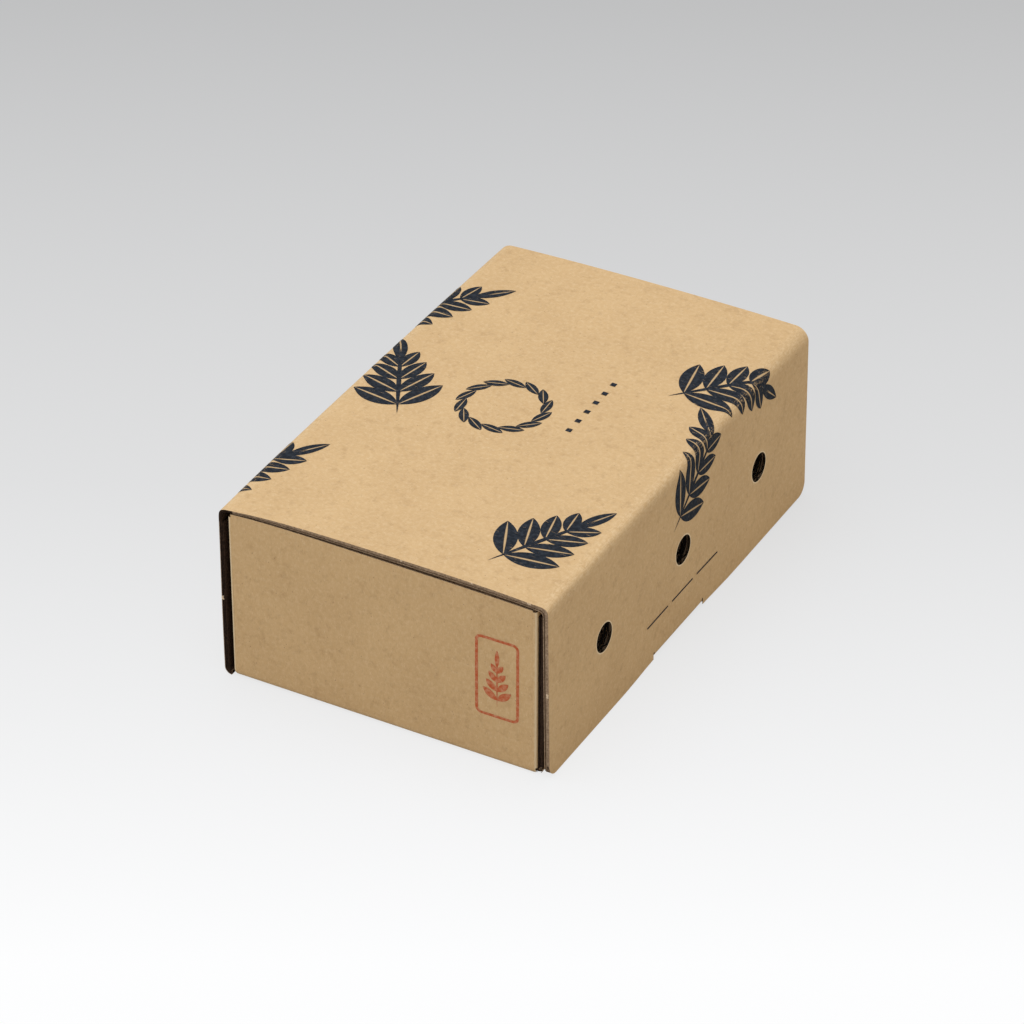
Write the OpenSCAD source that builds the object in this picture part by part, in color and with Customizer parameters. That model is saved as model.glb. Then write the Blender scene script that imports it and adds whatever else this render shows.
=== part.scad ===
// Small corrugated carton with a hinged lid and a closure flap that locks at the foot.
// One die-cut and folded sheet: tray, lid and closure flap, joined by two long creases.
// X is across the carton, Y runs along it with the front at -Y, and Z is up from the floor.

/* [Carton] */
// Width over the left wall and the closure flap
carton_w = 160; // [130:1:240]
// Length over the two end walls
carton_l = 250; // [210:1:400]
// Height from the floor to the top of the lid
carton_h = 89; // [70:1:160]
// Thickness of the corrugated board
board_t = 2.5; // [1.6:0.1:3.2]

/* [Folds] */
// Outer radius of the two soft creases beside the lid
crease_r = 7; // [5:0.5:9]
// Outer radius of the sharp folds round the bottom and at the upright corners
fold_r = 3.4; // [3.3:0.1:4.5]
// Slit between the two halves of a soft crease
crease_gap = 0.3; // [0.2:0.05:0.5]

/* [End walls] */
// Gap between the lid and the top edges of the walls
lid_gap = 1; // [0.4:0.1:2]
// Length of the glued ear behind each upright corner
ear_l = 42; // [20:1:60]
// How far an ear stops short of the wall's top edge
ear_drop = 4; // [2:0.5:10]

/* [Closure flap] */
// Gap between the closure flap and the inner wall
flap_gap = 0.3; // [0.25:0.05:1]
// Height of the flap's lower edge above the floor
flap_foot = 0.8; // [0.5:0.1:3]
// Radius of the flap's two lower corners
flap_corner_r = 6; // [2:0.5:12]

/* [Lock tab] */
// Length of the lock tab along the carton
tab_l = 46; // [25:1:60]
// Place of the tab's middle along the carton
tab_y = -3; // [-15:1:15]
// Outer radius of the tab's bend
tab_r = 4.5; // [4:0.1:5.5]
// How far the tab reaches past the inner wall
tab_reach = 0.5; // [0:0.1:1]
// Width of the slit beside each end of the tab
tab_slit = 1.2; // [0.5:0.1:2]
// Free space round the tab in its slot
tab_play = 0.4; // [0.3:0.1:1]

/* [Air holes] */
// Diameter of the air holes
vent_d = 14; // [8:0.5:22]
// Distance between neighbouring air holes
vent_pitch = 75; // [50:1:90]
// Number of air holes
vent_count = 3; // [1:1:3]
// Height of the air holes' centres
vent_z = 43; // [30:1:50]

/* [Print] */
// Thickness of the printed ink
ink_t = 0.12; // [0.08:0.01:0.2]
// Length of one printed sprig
sprig_l = 66; // [40:1:80]
// Length of a sprig's largest leaf
leaf_l = 25; // [15:1:30]
// Width of a sprig's largest leaf
leaf_w = 10.5; // [5:0.5:12]
// Radius of the wreath on the lid
wreath_r = 19; // [12:1:24]
// Width of the red frame on the front
stamp_w = 21; // [14:1:30]
// Height of the red frame on the front
stamp_h = 41; // [30:1:50]
// Line width of the red frame
stamp_line = 1.4; // [0.8:0.1:2.5]

/* [Hidden] */
kraft_top = [0.86, 0.73, 0.54];
kraft_side = [0.72, 0.59, 0.43];
slate_ink = [0.18, 0.21, 0.25];
red_ink = [0.71, 0.35, 0.24];
round_faces = 64;

half_w = carton_w / 2;
half_l = carton_l / 2;
margin = 1;
// A soft crease is split at the middle of its arc, and its axis lies just outside the ink there
crease_x = half_w - crease_r;
crease_z = carton_h - crease_r;
split_trim = asin(crease_gap / 2 / crease_r);
// Regions of that arch that belong to the left wall, to the lid and to the closure flap
far = 2 * crease_r;
wall_split = [-crease_x - far * cos(45 - split_trim), crease_z + far * sin(45 - split_trim)];
lid_split = [crease_x + far * cos(45 + split_trim), crease_z + far * sin(45 + split_trim)];
wall_region = [[-crease_x, crease_z], wall_split, [-half_w - far, fold_r], [-crease_x, fold_r]];
lid_region = [[-crease_x, crease_z], [crease_x, crease_z], lid_split, [-lid_split[0], lid_split[1]]];
flap_region = [[crease_x, crease_z], [crease_x, crease_z - margin],
               [half_w + far, crease_z - margin], [-wall_split[0], wall_split[1]]];
ink_clear = 0.08;
hinge_lift = ink_t + ink_clear;
hinge_in = crease_r - (crease_r + hinge_lift) * cos(45);
hinge_x = half_w - hinge_in;
hinge_z = carton_h - hinge_in;
// Places of the walls behind the closure flap
inner_wall_x = half_w - board_t - flap_gap;
wall_top = carton_h - board_t - lid_gap;
end_left = -half_w + board_t;
end_right = inner_wall_x - board_t;
// The tab lies just over the bottom, and its slot lets it rise as the lid swings up with the flap
tab_low = board_t + tab_play;
tab_bend_z = tab_low + tab_r;
tab_tip_x = inner_wall_x - board_t - tab_reach;
tab_window_top = tab_bend_z + tab_play + margin;
tab_engaged = inner_wall_x - tab_tip_x;
tab_lever = (inner_wall_x + hinge_x) / (hinge_z - tab_bend_z);
rise_spare = 1.1;
slot_top = tab_low + board_t + tab_engaged * tab_lever * rise_spare + 2 * tab_play;
slot_l = tab_l + 2 * tab_play;
// Where the print turns from the lid onto a wall
turn_x = half_w - crease_r * (1 - cos(45));
turn_z = carton_h - crease_r * (1 - cos(45));
// Each sprig's place as shares of half the width and half the length, then its turn and its scale
sprig_places = [
    [0.52, -0.86, 62, 1], [1.34, -0.08, 128, 0.95], [0.62, 0.34, 48, 1],
    [-1.3, -0.9, 50, 1], [-0.6, -0.22, 118, 1], [-1.26, 0.36, 42, 0.95]
];

// Quarter turn of board along Y, round the Y axis from angle_from
module fold(outer_r, angle_from, run) {
    rotate([90, 0, 0])
        translate([0, 0, -run / 2])
            rotate([0, 0, angle_from])
                rotate_extrude(angle = 90, $fn = round_faces)
                    translate([outer_r - board_t, 0])
                        square([board_t, run]);
}

// Outline of the carton's end, grown by out, round at the top and open at the floor
module arch(out) {
    for (side = [-1, 1])
        translate([side * crease_x, crease_z]) circle(r = crease_r + out, $fn = round_faces);
    translate([-crease_x, crease_z]) square([2 * crease_x, crease_r + out]);
    translate([-half_w - out, -margin]) square([carton_w + 2 * out, crease_z + margin]);
}

// Part of a sheet that runs over the carton like an arch, cut by a polygon, along the whole carton
module arch_sheet(out, thickness, region) {
    rotate([90, 0, 0])
        linear_extrude(carton_l, center = true)
            intersection() {
                difference() {
                    arch(out);
                    arch(out - thickness);
                }
                polygon(region);
            }
}

// Rectangular block between two corners
module block(low, high) {
    translate(low) cube(high - low);
}

// Row of round cutters through the closure flap and the wall behind it
module vent_cutters() {
    for (i = [0 : vent_count - 1])
        translate([inner_wall_x - board_t - margin, (i - (vent_count - 1) / 2) * vent_pitch, vent_z])
            rotate([0, 90, 0])
                cylinder(h = half_w - inner_wall_x + board_t + 2 * margin, d = vent_d, $fn = round_faces);
}

// Left wall with its bottom fold and the lower half of the left crease
module left_wall() {
    arch_sheet(0, board_t, wall_region);
    translate([-half_w + fold_r, 0, fold_r]) fold(fold_r, 180, carton_l);
}

// Space under the lid and inside its creases, which the walls below don't leave
module under_lid() {
    inside_r = crease_r - board_t - flap_gap;
    rotate([90, 0, 0])
        linear_extrude(carton_l + 2 * margin, center = true) {
            for (side = [-1, 1])
                translate([side * crease_x, crease_z]) circle(r = inside_r, $fn = round_faces);
            translate([-crease_x, 0]) square([2 * crease_x, wall_top]);
            translate([-half_w - margin, -margin]) square([carton_w + 2 * margin, crease_z + margin]);
        }
}

// Wall behind the closure flap, with the same air holes and the slot for the tab
module inner_wall() {
    difference() {
        intersection() {
            union() {
                block([end_right, -half_l, fold_r], [inner_wall_x, half_l, wall_top]);
                translate([inner_wall_x - fold_r, 0, fold_r]) fold(fold_r, 270, carton_l);
            }
            under_lid();
        }
        vent_cutters();
        block([end_right - fold_r, tab_y - slot_l / 2, board_t],
              [half_w, tab_y + slot_l / 2, slot_top]);
    }
}

// One end wall with its bottom fold and its two glued ears, at the front
module end_wall() {
    span = end_right - end_left;
    middle = (end_right + end_left) / 2;
    translate([0, -half_l, 0]) {
        block([end_left + fold_r, 0, fold_r], [end_right - fold_r, board_t, wall_top]);
        translate([middle, fold_r, fold_r])
            rotate([0, 0, 90]) fold(fold_r, 180, span - 2 * fold_r);
        for (side = [-1, 1])
            ear(side, side < 0 ? end_left : end_right);
    }
}

// Rounded upright corner and the ear that is glued along a side wall
module ear(side, corner_x) {
    ear_top = wall_top - ear_drop;
    inner_x = corner_x - side * fold_r;
    translate([inner_x, fold_r, fold_r])
        rotate([0, 0, side < 0 ? 180 : 270])
            rotate_extrude(angle = 90, $fn = round_faces)
                translate([fold_r - board_t, 0])
                    square([board_t, wall_top - fold_r]);
    face_x = corner_x - side * board_t;
    block([min(corner_x, face_x), fold_r, fold_r], [max(corner_x, face_x), ear_l, ear_top]);
    block([min(corner_x, face_x), fold_r, ear_top - margin], [max(corner_x, face_x), fold_r * 2, wall_top]);
}

module tray() {
    color(kraft_side) {
        left_wall();
        inner_wall();
        block([-half_w + fold_r, -half_l + fold_r, 0], [inner_wall_x - fold_r, half_l - fold_r, board_t]);
        for (turn = [0, 1])
            mirror([0, turn, 0])
                intersection() {
                    end_wall();
                    under_lid();
                }
    }
}

module lid() {
    color(kraft_top) arch_sheet(0, board_t, lid_region);
}

// Outline of the closure flap's flat part, looking along X, with its lower corners rounded
module flap_outline() {
    for (side = [-1, 1])
        translate([side * (half_l - flap_corner_r), flap_foot + flap_corner_r])
            circle(r = flap_corner_r, $fn = round_faces);
    translate([-half_l + flap_corner_r, flap_foot])
        square([carton_l - 2 * flap_corner_r, flap_corner_r]);
    translate([-half_l, flap_foot + flap_corner_r])
        square([carton_l, crease_z - flap_foot - flap_corner_r]);
}

// Upright sheet on the closure flap's outline, from x_from outwards by thickness
module flap_sheet(x_from, thickness) {
    translate([x_from, 0, 0])
        rotate([90, 0, 90])
            linear_extrude(thickness) flap_outline();
}

// Tab that turns in at the foot and passes through the slot of the inner wall
module lock_tab() {
    translate([0, tab_y, 0]) {
        block([half_w - board_t, -tab_l / 2, tab_bend_z], [half_w, tab_l / 2, tab_window_top]);
        translate([half_w - tab_r, 0, tab_bend_z]) fold(tab_r, 270, tab_l);
        block([tab_tip_x, -tab_l / 2, tab_low], [half_w - tab_r, tab_l / 2, tab_low + board_t]);
    }
}

module closure_flap() {
    color(kraft_side) {
        difference() {
            flap_sheet(half_w - board_t, board_t);
            vent_cutters();
            block([half_w - board_t - margin, tab_y - tab_l / 2 - tab_slit, -margin],
                  [half_w + margin, tab_y + tab_l / 2 + tab_slit, tab_window_top]);
        }
        arch_sheet(0, board_t, flap_region);
        lock_tab();
    }
}

// Pointed leaf of two arcs, its length along X and one tip at the origin
module leaf(length, width) {
    arc_r = (length * length + width * width) / (4 * width);
    arc_faces = 8 * ceil(round_faces * arc_r / length / 8);
    translate([length / 2, 0])
        intersection() {
            translate([0, arc_r - width / 2]) circle(r = arc_r, $fn = arc_faces);
            translate([0, width / 2 - arc_r]) circle(r = arc_r, $fn = arc_faces);
        }
}

// Stem with pairs of leaves that grow smaller towards its tip
module sprig(length, size) {
    pairs = 4;
    stem_share = 0.85;
    stem_w = 2.2;
    first_pair = 0.12;
    pair_step = 0.16;
    widest_angle = 52;
    angle_step = 6;
    shorter = 0.13;
    narrower = 0.1;
    tip_share = 0.32;
    tip_narrower = 0.6;
    leaf(length * stem_share, stem_w * size);
    for (i = [0 : pairs - 1], side = [-1, 1])
        translate([length * (first_pair + pair_step * i), 0])
            rotate([0, 0, side * (widest_angle - angle_step * i)])
                leaf(leaf_l * size * (1 - shorter * i), leaf_w * size * (1 - narrower * i));
    translate([length * (1 - tip_share), 0]) leaf(length * tip_share, leaf_w * size * tip_narrower);
}

// Wreath of small leaves and a column of small squares in the middle of the lid
module lid_marks() {
    leaves = 14;
    small_l = 12;
    small_w = 4.6;
    lean = 68;
    mark = 2.6;
    mark_count = 6;
    mark_pitch = 8.4;
    first_mark_y = -3.4;
    mark_gap = 6;
    translate([-wreath_r / 2, 0])
        for (i = [0 : leaves - 1])
            rotate([0, 0, i * 360 / leaves])
                translate([wreath_r, 0])
                    rotate([0, 0, lean]) translate([-small_l / 2, 0]) leaf(small_l, small_w);
    for (i = [0 : mark_count - 1])
        translate([wreath_r + mark_gap, first_mark_y + i * mark_pitch]) square(mark, center = true);
}

// Broken thin rule under the air holes
module flap_rule() {
    dash_l = 20;
    dash_pitch = 24;
    rule_w = 0.8;
    for (i = [-1 : 1])
        translate([turn_x + turn_z - vent_z / 2, i * dash_pitch]) square([rule_w, dash_l], center = true);
}

// The whole sheet's dark print laid flat: X runs over the lid and on down both sides
module flat_print() {
    for (place = sprig_places)
        translate([half_w * place[0], half_l * place[1]])
            rotate([0, 0, place[2]])
                sprig(sprig_l, place[3]);
    lid_marks();
    flap_rule();
}

// The flat print as a tall block, ready to be cut by a thin skin of the board
module print_block() {
    translate([0, 0, -carton_w])
        linear_extrude(3 * carton_w)
            intersection() {
                flat_print();
                square([3 * carton_w, carton_l - 2 * ink_t], center = true);
            }
}

// The print block turned down about the middle of a soft crease; side is 1 right, -1 left
module print_block_down(side) {
    translate([side * turn_x, 0, turn_z])
        rotate([0, side * 90, 0])
            translate([-side * turn_x, 0, 0])
                print_block();
}

module lid_print() {
    color(slate_ink)
        intersection() {
            arch_sheet(ink_t, ink_t, lid_region);
            print_block();
        }
}

module flap_print() {
    color(slate_ink)
        difference() {
            intersection() {
                union() {
                    flap_sheet(half_w, ink_t);
                    arch_sheet(ink_t, ink_t, flap_region);
                }
                print_block_down(1);
            }
            vent_cutters();
        }
}

module wall_print() {
    color(slate_ink)
        intersection() {
            arch_sheet(ink_t, ink_t, wall_region);
            print_block_down(-1);
        }
}

// Rounded rectangle centred on the origin
module round_frame(width, height, corner_r) {
    for (x = [-1, 1], y = [-1, 1])
        translate([x * (width / 2 - corner_r), y * (height / 2 - corner_r)])
            circle(r = corner_r, $fn = round_faces);
    square([width - 2 * corner_r, height], center = true);
    square([width, height - 2 * corner_r], center = true);
}

module front_stamp() {
    stamp_x = half_w * 0.7;
    stamp_corner = 3;
    small_sprig_l = stamp_h * 0.72;
    small_scale = 0.34;
    color(red_ink)
        translate([stamp_x, -half_l, carton_h / 2])
            rotate([90, 0, 0])
                linear_extrude(ink_t) {
                    difference() {
                        round_frame(stamp_w, stamp_h, stamp_corner);
                        round_frame(stamp_w - 2 * stamp_line, stamp_h - 2 * stamp_line,
                                    stamp_corner - stamp_line);
                    }
                    translate([0, -small_sprig_l / 2])
                        rotate([0, 0, 90]) sprig(small_sprig_l, small_scale);
                }
}

tray();
lid();
closure_flap();
wall_print();
lid_print();
flap_print();
front_stamp();
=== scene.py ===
import math
import random

import bmesh
import bpy
import numpy as np
from mathutils import Matrix, Vector


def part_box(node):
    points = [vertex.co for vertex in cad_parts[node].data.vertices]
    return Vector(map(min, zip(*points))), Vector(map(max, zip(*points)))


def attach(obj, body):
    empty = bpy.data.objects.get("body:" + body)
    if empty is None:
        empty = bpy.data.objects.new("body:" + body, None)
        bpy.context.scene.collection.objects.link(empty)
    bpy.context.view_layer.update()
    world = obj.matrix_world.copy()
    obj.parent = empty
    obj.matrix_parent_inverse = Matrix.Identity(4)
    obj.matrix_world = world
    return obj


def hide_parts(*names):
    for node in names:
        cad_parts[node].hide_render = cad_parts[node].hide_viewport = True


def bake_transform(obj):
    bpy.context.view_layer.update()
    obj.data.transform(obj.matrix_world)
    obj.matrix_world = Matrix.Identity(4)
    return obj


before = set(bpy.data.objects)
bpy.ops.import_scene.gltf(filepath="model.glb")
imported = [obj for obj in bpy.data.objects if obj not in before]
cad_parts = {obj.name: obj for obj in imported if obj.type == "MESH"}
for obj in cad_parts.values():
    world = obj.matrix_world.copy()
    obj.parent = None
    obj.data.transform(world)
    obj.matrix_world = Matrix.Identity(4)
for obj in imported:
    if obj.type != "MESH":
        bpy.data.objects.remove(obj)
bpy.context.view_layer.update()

# The carton, in metres, read from the frame where a node has the size
MM = 0.001
HALF_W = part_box("closure_flap")[1].x
HALF_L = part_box("lid")[1].y
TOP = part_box("lid")[1].z
FLAP_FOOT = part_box("closure_flap")[0].z
TAB_TIP_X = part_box("closure_flap")[0].x
BOARD_T = 2.5 * MM
CREASE_R = 7 * MM
FOLD_R = 3.4 * MM
FLAP_GAP = 0.3 * MM
LID_GAP = 1 * MM
EAR_L = 42 * MM
EAR_DROP = 4 * MM
CORNER_FOOT = 0.2 * MM
FLAP_CORNER_R = 6 * MM
TAB_L = 46 * MM
TAB_Y = -3 * MM
TAB_R = 3.1 * MM
TAB_LOW = 0.9 * MM
TAB_SLIT = 1.2 * MM
TAB_PLAY = 0.4 * MM
VENT_R = 7 * MM
VENT_PITCH = 75 * MM
VENT_Z = 43 * MM
VENT_YS = (-VENT_PITCH, 0, VENT_PITCH)
CREASE_X = HALF_W - CREASE_R
CREASE_Z = TOP - CREASE_R
INNER_WALL_X = HALF_W - BOARD_T - FLAP_GAP
WALL_TOP = TOP - BOARD_T - LID_GAP
END_LEFT = -HALF_W + BOARD_T
END_RIGHT = INNER_WALL_X - BOARD_T
TAB_BEND_Z = TAB_LOW + TAB_R
TAB_WINDOW_TOP = TAB_BEND_Z + TAB_PLAY
SLOT_TOP = 12.6 * MM

# The board's layers
LINER_T = 0.3 * MM
MEDIUM_T = 0.25 * MM
FLUTE_PITCH = 6.3 * MM
FLUTE_STEPS = 8
FLUTE_START = 0.62
ARC_STEPS = 14
END_MARKS = (0.7, 1.5, 2.5, 4, 6.5)
CRUSH_DEPTH = 1.1 * MM
CRUSH_STEP = 1.7 * MM

# How the sheet departs from flat, as in the photograph
LID_CROWN = 1.1 * MM
FLAP_SPLAY = 1.3 * MM
PANEL_WARP = 0.25 * MM
PANEL_BULGE = 0.5 * MM
INNER_WALL_BACK = 1.3 * MM
END_PINCH = 0.12
PINCH_REACH = 3 * MM
LEFT_PRESS = 0.42
LEFT_PRESS_REACH = 26 * MM
CREASE_SQUARE = 3
PANEL_LEFT = END_LEFT + 1.7 * MM
PANEL_RIGHT = END_RIGHT - 0.05 * MM
EAR_R = 1.8 * MM
EAR_PRESSED = 0.62
EAR_LEAN = 25 * MM
# How much paler the ears' rounded corners are drawn: wear, and a painted highlight on the rounded fold
CORNER_WEAR_AND_HIGHLIGHT = {-1: 2.8, 1: 1.7}
# Width of the strips at the ends of the side walls, and of the lid beside the left crease, that get a
# near-black finish as painted shade
PAINTED_SHADE_REACH = 6 * MM
PANEL_MIDDLE = (PANEL_LEFT + PANEL_RIGHT) / 2
PANEL_HALF = (PANEL_RIGHT - PANEL_LEFT) / 2 - EAR_R
PANEL_RISE_LEFT = 1.5 * MM
PANEL_RISE_RIGHT = 0.1 * MM
SAG_LEFT = 2.3 * MM
SAG_RIGHT = 0.9 * MM
SAG_REACH = 60 * MM

# Print
INK_LIFT = 0.06 * MM
TURN_X = HALF_W - CREASE_R * (1 - math.cos(math.pi / 4))
TURN_Z = TOP - CREASE_R * (1 - math.cos(math.pi / 4))
SPRIG_L = 66 * MM
LEAF_L = 25 * MM
LEAF_W = 10.5 * MM
STEM_W = 2.2 * MM
LEAF_PAIRS = 4
# Each sprig's place as shares of the half width and half length, its turn in degrees and its size
SPRIGS = ((0.52, -0.86, 62, 1), (1.34, -0.08, 128, 0.95), (0.62, 0.34, 48, 1),
          (-1.3, -0.9, 50, 1), (-0.6, -0.22, 118, 1), (-1.26, 0.36, 42, 0.95))
RULE_L = 20 * MM
RULE_W = 0.8 * MM
RULE_PITCH = 24 * MM
WREATH_R = 19 * MM
WREATH_LEAVES = 14
WREATH_LEAF_L = 12 * MM
WREATH_LEAF_W = 4.6 * MM
MARK_W = 2.6 * MM
MARK_PITCH = 8.4 * MM
FIRST_MARK_Y = -3.4 * MM
MARK_GAP = 6 * MM
MARKS = 6
STAMP_W = 21 * MM
STAMP_H = 41 * MM
STAMP_LINE = 1.4 * MM
STAMP_CORNER = 3 * MM
STAMP_X = HALF_W * 0.7

# Camera and studio
AZIMUTH = math.radians(28.58)
ELEVATION = math.radians(34.054)
ROLL = math.radians(0.1)
LENS = 156.05
AIM = Vector((1.8, -12.88, 45.0)) * MM
DISTANCE = 1968.3 * MM
SKY = 0.67
SKY_TINT = (1.0, 0.945, 0.86, 1)
LAMPS = (("key", (-0.25, -0.2, 2.0), 2.2, 29, (0.9, 1.03, 1.25)),
         ("fill", (0.7, -2.2, 0.8), 1.6, 3.2, (1.0, 0.96, 0.9)))
FLOOR_NEAR, FLOOR_MIDDLE, FLOOR_FAR = 1.09, 0.79, 0.525
NEAR_AT, MIDDLE_AT, FAR_AT = -0.27, 0.08, 0.56
FLOOR_GLOW = 0.8
FLOOR_BOUNCE = 0.5

random.seed(7)


# A route is a chain of straight and curved stretches in a plane, with the sheet's outer face on its left
class Route:
    def __init__(self, start, heading, stretches):
        self.parts = []
        self.length = 0
        p = np.array(start, float)
        h = heading
        for radius, amount in stretches:
            span = abs(amount) * radius if radius else amount
            self.parts.append((self.length, span, p.copy(), h, radius))
            right = np.array([math.sin(h), -math.cos(h)])
            if radius:
                centre = p + right * radius
                h -= amount
                p = centre - np.array([math.sin(h), -math.cos(h)]) * radius
            else:
                p = p + np.array([math.cos(h), math.sin(h)]) * amount
            self.length += span

    def at(self, s, n):
        """Point in the plane at distance s along the route and depth n under the outer face."""
        part = self.parts[0]
        for candidate in self.parts:
            if s >= candidate[0] - 1e-9:
                part = candidate
        begin, _, p, h, radius = part
        right = np.array([math.sin(h), -math.cos(h)])
        if not radius:
            return p + np.array([math.cos(h), math.sin(h)]) * (s - begin) + right * n
        turned = h - (s - begin) / radius
        centre = p + right * radius
        return centre - np.array([math.sin(turned), -math.cos(turned)]) * (radius - n)

    def arc_marks(self, steps=ARC_STEPS):
        """Distances along the route at which the mesh needs an edge, so that its curves are round."""
        marks = []
        for begin, span, _, _, radius in self.parts:
            if radius:
                marks += [begin + span * i / steps for i in range(steps + 1)]
        return marks


def even_marks(low, high, step):
    count = max(1, round((high - low) / step))
    return [low + (high - low) * i / count for i in range(count + 1)]


def tidy_marks(marks, low, high, least=0.05 * MM):
    """Sorted distances within a range, its two ends among them, none closer than least."""
    kept = [low]
    for mark in sorted(marks):
        if mark - kept[-1] > least and high - mark > least:
            kept.append(mark)
    return kept + [high]


def slab(bm, us, vs, low, high):
    """Closed slab over a grid: low and high give its two faces' depth at (u, v)."""
    rows = [[[bm.verts.new((u, v, f(u, v))) for v in vs] for u in us] for f in (low, high)]
    nu, nv = len(us), len(vs)
    for i in range(nu - 1):
        for j in range(nv - 1):
            a = rows[0]
            bm.faces.new((a[i][j], a[i][j + 1], a[i + 1][j + 1], a[i + 1][j]))
            b = rows[1]
            bm.faces.new((b[i][j], b[i + 1][j], b[i + 1][j + 1], b[i][j + 1]))
    for i in range(nu - 1):
        for j in (0, nv - 1):
            quad = (rows[0][i][j], rows[0][i + 1][j], rows[1][i + 1][j], rows[1][i][j])
            bm.faces.new(quad if j == 0 else quad[::-1])
    for j in range(nv - 1):
        for i in (0, nu - 1):
            quad = (rows[0][i][j], rows[1][i][j], rows[1][i][j + 1], rows[0][i][j + 1])
            bm.faces.new(quad if i == 0 else quad[::-1])


def new_object(name, bm):
    mesh = bpy.data.meshes.new(name)
    bm.to_mesh(mesh)
    bm.free()
    obj = bpy.data.objects.new(name, mesh)
    bpy.context.scene.collection.objects.link(obj)
    return obj


def flat_board(name, s_range, y_range, s_marks=(), flutes="along", fine_y=None):
    """Corrugated board laid flat: X is distance along the route, Y across it, Z depth under its face."""
    s_list = tidy_marks(list(s_marks), *s_range)
    wave_low, wave_high = y_range if flutes == "along" else s_range
    wave_marks = even_marks(wave_low, wave_high, FLUTE_PITCH / FLUTE_STEPS)
    plain_y = even_marks(y_range[0], y_range[1], fine_y or (y_range[1] - y_range[0]) / 8)
    ends = [y_range[0] + d * MM for d in END_MARKS] + [y_range[1] - d * MM for d in END_MARKS]
    plain_y = tidy_marks(plain_y + ends, *y_range)
    middle = BOARD_T / 2
    swing = middle - LINER_T - MEDIUM_T / 2 - 0.01 * MM

    def wave(u, v):
        along = v if flutes == "along" else u
        return middle + swing * math.cos(2 * math.pi * (along / FLUTE_PITCH + FLUTE_START))

    bm = bmesh.new()
    slab(bm, s_list, plain_y, lambda u, v: 0, lambda u, v: LINER_T)
    slab(bm, s_list, plain_y, lambda u, v: BOARD_T - LINER_T, lambda u, v: BOARD_T)
    if flutes == "along":
        grid = (s_list, wave_marks)
    else:
        grid = (tidy_marks(s_list + wave_marks, *s_range), plain_y)
    slab(bm, *grid, lambda u, v: wave(u, v) - MEDIUM_T / 2, lambda u, v: wave(u, v) + MEDIUM_T / 2)
    return new_object(name, bm)


def cylinder_cutter(s, y, radius, faces=48):
    bm = bmesh.new()
    middle = Matrix.Translation((s, y, BOARD_T / 2))
    bmesh.ops.create_cone(bm, cap_ends=True, segments=faces, radius1=radius, radius2=radius,
                          depth=4 * BOARD_T, matrix=middle)
    return new_object("cutter", bm)


def box_cutter(s_range, y_range):
    bm = bmesh.new()
    slab(bm, s_range, y_range, lambda u, v: -BOARD_T, lambda u, v: 2 * BOARD_T)
    return new_object("cutter", bm)


def corner_cutter(s, y, side, radius, steps=10):
    """Cuts a square corner at (s, y) to a round one; side is +1 or -1, the corner's end of Y."""
    bm = bmesh.new()
    spare = 1 * MM
    outline = [(s + spare, y + side * spare), (s + spare, y - side * radius)]
    for i in range(steps + 1):
        angle = math.pi / 2 * i / steps
        outline.append((s - radius * (1 - math.cos(angle)), y - side * radius * (1 - math.sin(angle))))
    outline.append((s - radius, y + side * spare))
    low = [bm.verts.new((a, b, -BOARD_T)) for a, b in outline]
    face = bm.faces.new(low)
    moved = bmesh.ops.extrude_face_region(bm, geom=[face])
    for v in moved["geom"]:
        if isinstance(v, bmesh.types.BMVert):
            v.co.z = 2 * BOARD_T
    bmesh.ops.recalc_face_normals(bm, faces=bm.faces)
    return new_object("cutter", bm)


def cut(obj, cutters):
    for cutter in cutters:
        modifier = obj.modifiers.new("cut", "BOOLEAN")
        modifier.operation = "DIFFERENCE"
        modifier.solver = "EXACT"
        modifier.object = cutter
    graph = bpy.context.evaluated_depsgraph_get()
    mesh = bpy.data.meshes.new_from_object(obj.evaluated_get(graph))
    old = obj.data
    obj.modifiers.clear()
    obj.data = mesh
    bpy.data.meshes.remove(old)
    for cutter in cutters:
        bpy.data.objects.remove(cutter)
    return obj


# The fifth slot is a near-black cut-edge finish, painted shade for the gaps beside the ears
OUTER, INNER, CUT, TORN, PAINTED_SHADE = 0, 1, 2, 3, 4
BOARD_FINISH = []


def keep_values(mesh, flat, rub_and_highlight):
    """Stores the places on the flat sheet and the wear of the folds for the materials; on the ears' rounded
    corners the same values also carry a painted highlight.
    """
    mesh.attributes.new("flat", "FLOAT_VECTOR", "POINT").data.foreach_set("vector", flat)
    mesh.attributes.new("rub_and_highlight", "FLOAT", "POINT").data.foreach_set("value", rub_and_highlight)


def store_flat(obj, offset, route):
    """Keeps each point's place on the flat sheet, in millimetres, and how near it is to a fold's middle."""
    mesh = obj.data
    flat, rub_and_highlight = [], []
    for v in mesh.vertices:
        flat += [v.co.x / MM + offset[0], v.co.y / MM + offset[1], v.co.z / MM]
        nearest = 0
        for begin, span, _, _, radius in route.parts:
            if radius:
                t = (v.co.x - begin) / span
                if 0 <= t <= 1:
                    nearest = max(nearest, math.sin(math.pi * t))
        rub_and_highlight.append(nearest)
    keep_values(mesh, flat, rub_and_highlight)
    for material in BOARD_FINISH:
        mesh.materials.append(material)
    for f in mesh.polygons:
        depth = sum(mesh.vertices[k].co.z for k in f.vertices) / len(f.vertices)
        upright = abs(f.normal.z) > 0.9
        if upright and depth < 0.02 * MM:
            f.material_index = OUTER
        elif upright and depth > BOARD_T - 0.02 * MM:
            f.material_index = INNER
        else:
            f.material_index = CUT


def whole(s, y):
    return 1


def pinched(s, y):
    """Share of the board's thickness that the die left near a cut across the flutes."""
    return 1 - END_PINCH * math.exp(-(HALF_L - abs(y)) / PINCH_REACH)


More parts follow.
